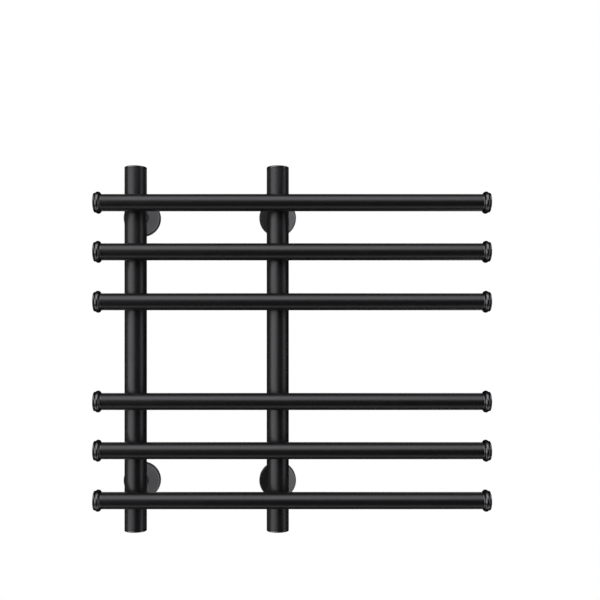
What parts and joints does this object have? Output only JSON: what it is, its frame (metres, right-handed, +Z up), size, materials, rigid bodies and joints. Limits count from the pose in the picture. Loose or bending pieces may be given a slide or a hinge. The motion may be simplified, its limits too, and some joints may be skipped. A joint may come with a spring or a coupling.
{
  "type": "towel warmer rack",
  "caption": "Wall-hung heated towel rack: round bars with beaded end caps cross two round posts near one end and reach out freely to the right.",
  "frame": {"origin": "on the wall, midway between the four wall plates", "axes": "+X to the right along the bars, seen from the front; +Y into the wall; +Z up along the posts. The rack stands in front of the wall, at negative y."},
  "size_m": [0.5882, 0.1123, 0.552],
  "materials": {
    "black_posts": "satin black powder coat",
    "black_bars": "satin black powder coat",
    "black_caps": "satin black powder coat on turned steel",
    "black_covers": "satin black powder coat on pressed steel",
    "zinc_plate": "turned stainless steel",
    "steel_screws": "bright steel",
    "rubber": "black rubber",
    "silicone_sheath": "silicone cable sheath",
    "ceramic_can": "ceramic",
    "tinned_copper": "tinned copper"
  },
  "bodies": {
    "rack": {"post_left": "black_posts", "post_right": "black_posts", "post_cap_top_left": "black_caps", "post_cap_top_right": "black_caps", "post_cap_bottom_left": "black_caps", "post_cap_bottom_right": "black_caps", "bar_1": "black_bars", "bar_2": "black_bars", "bar_3": "black_bars", "bar_4": "black_bars", "bar_5": "black_bars", "bar_6": "black_bars", "bar_1_cap_left": "black_caps", "bar_1_cap_right": "black_caps", "bar_2_cap_left": "black_caps", "bar_2_cap_right": "black_caps", "bar_3_cap_left": "black_caps", "bar_3_cap_right": "black_caps", "bar_4_cap_left": "black_caps", "bar_4_cap_right": "black_caps", "bar_5_cap_left": "black_caps", "bar_5_cap_right": "black_caps", "bar_6_cap_left": "black_caps", "bar_6_cap_right": "black_caps", "leg_top_left": "black_posts", "leg_top_right": "black_posts", "leg_bottom_left": "black_posts", "leg_bottom_right": "black_posts", "wall_plate_top_left": "zinc_plate", "wall_plate_top_right": "zinc_plate", "wall_plate_bottom_left": "zinc_plate", "wall_plate_bottom_right": "zinc_plate", "grub_screws": "steel_screws", "heating_cable": "silicone_sheath", "thermal_cutout": "ceramic_can", "splice_sleeves": "tinned_copper", "cable_grommet": "rubber", "earth_tag": "tinned_copper", "earth_screw": "steel_screws"},
    "top_left_cover": {"cover_top_left": "black_covers", "cover_ring_top_left": "rubber"},
    "top_right_cover": {"cover_top_right": "black_covers", "cover_ring_top_right": "rubber"},
    "bottom_left_cover": {"cover_bottom_left": "black_covers", "cover_ring_bottom_left": "rubber"},
    "bottom_right_cover": {"cover_bottom_right": "black_covers", "cover_ring_bottom_right": "rubber"}
  },
  "joints": [
    {"name": "top_left_cover_slide", "type": "slide", "parent": "rack", "child": "top_left_cover", "axis": [0, -1, 0], "range_m": [0, 0.035]},
    {"name": "top_right_cover_slide", "type": "slide", "parent": "rack", "child": "top_right_cover", "axis": [0, -1, 0], "range_m": [0, 0.035]},
    {"name": "bottom_left_cover_slide", "type": "slide", "parent": "rack", "child": "bottom_left_cover", "axis": [0, -1, 0], "range_m": [0, 0.035]},
    {"name": "bottom_right_cover_slide", "type": "slide", "parent": "rack", "child": "bottom_right_cover", "axis": [0, -1, 0], "range_m": [0, 0.035]}
  ]
}
